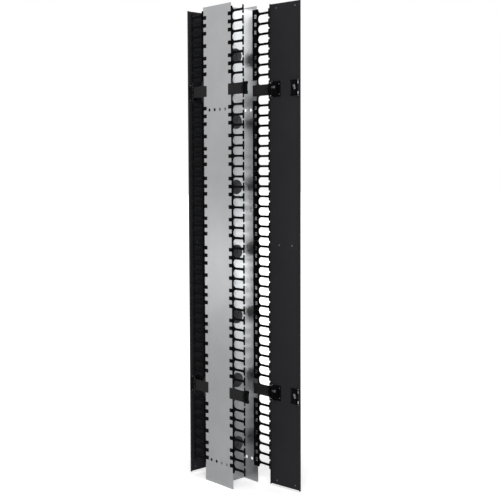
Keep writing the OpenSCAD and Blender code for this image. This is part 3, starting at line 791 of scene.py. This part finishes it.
class MANAGER_OT_fasteners(bpy.types.Operator):
    """Finishes the rivets and screws"""

    bl_idname = "manager.fasteners"
    bl_label = "Fasteners"

    def execute(self, context):
        dress("web_rivets", material_named("zinc"))
        dress("receiver_screws", material_named("block"))
        dress("spool_screws", material_named("steel"))
        for face in FACES:
            for part in ("rivets", "plate_screws"):
                dress(f"{face}_door_{part}", material_named("steel"))
        return {"FINISHED"}


class MANAGER_OT_stage(bpy.types.Operator):
    """Sets the floor, the light and the camera"""

    bl_idname = "manager.stage"
    bl_label = "Stage"

    def softbox(self, name, place, aim, size, watts):
        """A rectangular area light at a place, turned to an aim."""
        data = bpy.data.lights.new(name, "AREA")
        data.shape = "RECTANGLE"
        data.size, data.size_y = size
        data.energy = watts
        lamp = linked(name, data)
        lamp.location = place
        lamp.rotation_euler = (Vector(aim) - Vector(place)).to_track_quat("-Z", "Y").to_euler()

    def white_rays(self, tree):
        """One where a ray comes from the camera, a gloss or a clear body."""
        rays = node(tree, "ShaderNodeLightPath").outputs
        more = {"operation": "MAXIMUM"}
        seen = {0: rays["Is Camera Ray"], 1: rays["Is Glossy Ray"]}
        gloss = node(tree, "ShaderNodeMath", more, seen)
        seen = {0: gloss.outputs[0], 1: rays["Is Transmission Ray"]}
        return node(tree, "ShaderNodeMath", more, seen).outputs[0]

    def world(self, scene):
        """A grey dome that shows as white."""
        world = bpy.data.worlds.new("studio")
        world.use_nodes = True
        tree = world.node_tree
        tones = {FACTOR: self.white_rays(tree), DARK: (DOME, DOME, DOME, 1), LIGHT: (1, 1, 1, 1)}
        tone = node(tree, "ShaderNodeMix", {"data_type": "RGBA"}, tones)
        feed(tree, tree.nodes["Background"], {"Color": tone.outputs[2]})
        scene.world = world

    def floor(self):
        """A white floor that keeps the shadow, and glows to the camera where the light fades."""
        bm = bmesh.new()
        bmesh.ops.create_grid(bm, x_segments=1, y_segments=1, size=FLOOR_SIZE)
        obj = new_object("floor", bm)
        material, tree, shader, place = surface("white_floor_paint")
        grit = node(tree, "ShaderNodeTexNoise", {}, {"Vector": place, "Scale": 40.0})
        bump = node(tree, "ShaderNodeBump", {}, {"Strength": 0.02, "Height": grit.outputs[0]})
        path = node(tree, "ShaderNodeLightPath")
        reach = node(tree, "ShaderNodeVectorMath", {"operation": "LENGTH"}, {0: place})
        (near, low), (far, high) = GLOW_NEAR, GLOW_FAR
        span = {VALUE: reach.outputs["Value"], FROM_LOW: near, FROM_HIGH: far, LOW: low, HIGH: high}
        gain = node(tree, "ShaderNodeMapRange", {}, span)
        both = {0: path.outputs["Is Camera Ray"], 1: gain.outputs[0]}
        lift = node(tree, "ShaderNodeMath", {"operation": "MULTIPLY"}, both)
        finish = {
            "Base Color": linear("fafafa"),
            "Roughness": 0.9,
            "Specular IOR Level": 0.0,
            "Normal": bump.outputs[0],
            "Emission Color": (1, 1, 1, 1),
            "Emission Strength": lift.outputs[0],
        }
        feed(tree, shader, finish)
        obj.data.materials.append(material)

    def camera(self, scene):
        """A long lens at chest height, turned to the object's front left."""
        data = bpy.data.cameras.new("camera")
        data.lens = LENS
        data.sensor_width = SENSOR
        data.shift_y = SHIFT_Y
        cam = linked("camera", data)
        turn = Matrix.Rotation(math.radians(YAW), 4, "Z")
        turn = turn @ Matrix.Rotation(math.radians(90 + PITCH), 4, "X")
        turn = turn @ Matrix.Rotation(math.radians(ROLL), 4, "Z")
        cam.matrix_world = Matrix.Translation(CAMERA_PLACE) @ turn
        scene.camera = cam

    def execute(self, context):
        scene = context.scene
        scene.view_settings.view_transform = "Standard"
        self.world(scene)
        self.floor()
        for lamp in LAMPS:
            self.softbox(*lamp)
        self.camera(scene)
        return {"FINISHED"}


class MANAGER_PT_panel(bpy.types.Panel):
    """The manager's pieces, in the sidebar"""

    bl_label = "Cable Manager"
    bl_idname = "MANAGER_PT_panel"
    bl_space_type = "VIEW_3D"
    bl_region_type = "UI"
    bl_category = "Cable Manager"

    def draw(self, context):
        for operator in OPERATORS:
            self.layout.operator(operator.bl_idname)
        for group in GROUPS:
            box = self.layout.box()
            settings = getattr(context.scene, group)
            for key in settings.bl_rna.properties.keys():
                if key not in ("rna_type", "name"):
                    box.prop(settings, key)


OPERATORS = (
    MANAGER_OT_stage,
    MANAGER_OT_sheets,
    MANAGER_OT_fingers,
    MANAGER_OT_mouldings,
    MANAGER_OT_spools,
    MANAGER_OT_fasteners,
)
GROUPS = {
    "manager_colours": ManagerColours,
    "manager_fingers": FingerSizes,
    "manager_spools": SpoolSizes,
}


def register():
    """Registers the settings, the operators and the panel."""
    for name, group in GROUPS.items():
        bpy.utils.register_class(group)
        setattr(bpy.types.Scene, name, PointerProperty(type=group))
    for cls in (*OPERATORS, MANAGER_PT_panel):
        bpy.utils.register_class(cls)


def unregister():
    """Takes them away again."""
    for cls in reversed((*OPERATORS, MANAGER_PT_panel)):
        bpy.utils.unregister_class(cls)
    for name, group in GROUPS.items():
        delattr(bpy.types.Scene, name)
        bpy.utils.unregister_class(group)


def main():
    """Builds everything in order."""
    register()
    for operator in OPERATORS:
        getattr(bpy.ops.manager, operator.bl_idname.split(".")[1])()


if __name__ == "__main__":
    main()
